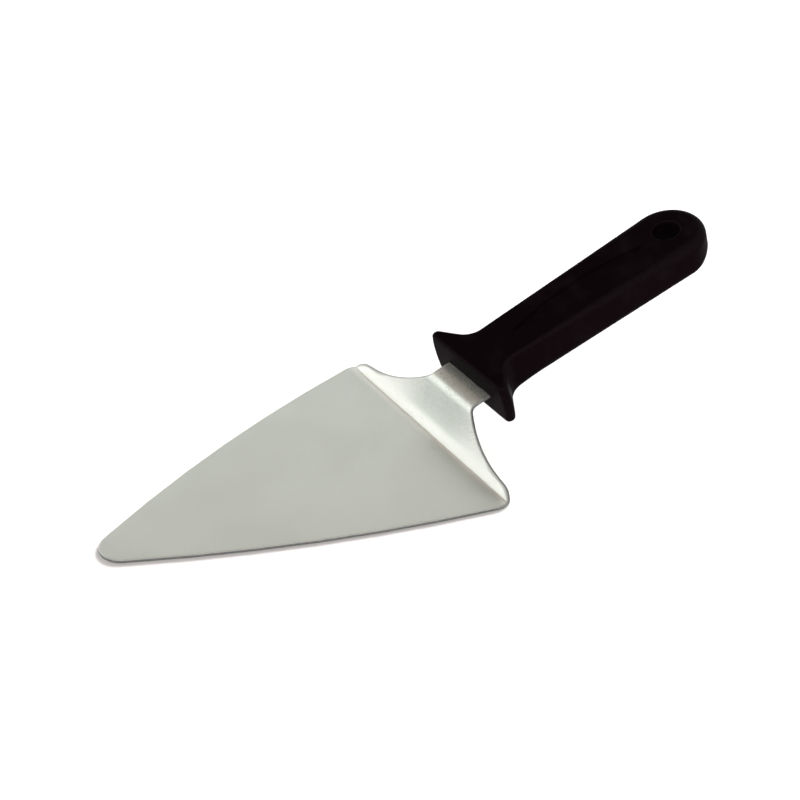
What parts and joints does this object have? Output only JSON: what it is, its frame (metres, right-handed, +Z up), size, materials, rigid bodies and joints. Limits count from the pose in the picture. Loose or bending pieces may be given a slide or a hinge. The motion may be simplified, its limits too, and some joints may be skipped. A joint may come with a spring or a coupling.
{
  "type": "pizza server",
  "caption": "Pizza server: a pointed flat steel blade with a cranked neck, and a black moulded handle with a finger guard, a thumb recess and a hanging hole.",
  "frame": {"origin": "bottom centre of the part's box, on the surface that the blade lies on", "axes": "+X from the blade's tip towards the handle's end, +Z up out of the blade's upper face, and the part is the same on both sides of y = 0"},
  "size_m": [0.2926, 0.1184, 0.0646],
  "materials": {
    "steel": "fine satin, as rolled and stamped",
    "black_plastic": "moulded satin black"
  },
  "bodies": {
    "root": {"blade": "steel", "handle": "black_plastic"}
  },
  "joints": []
}
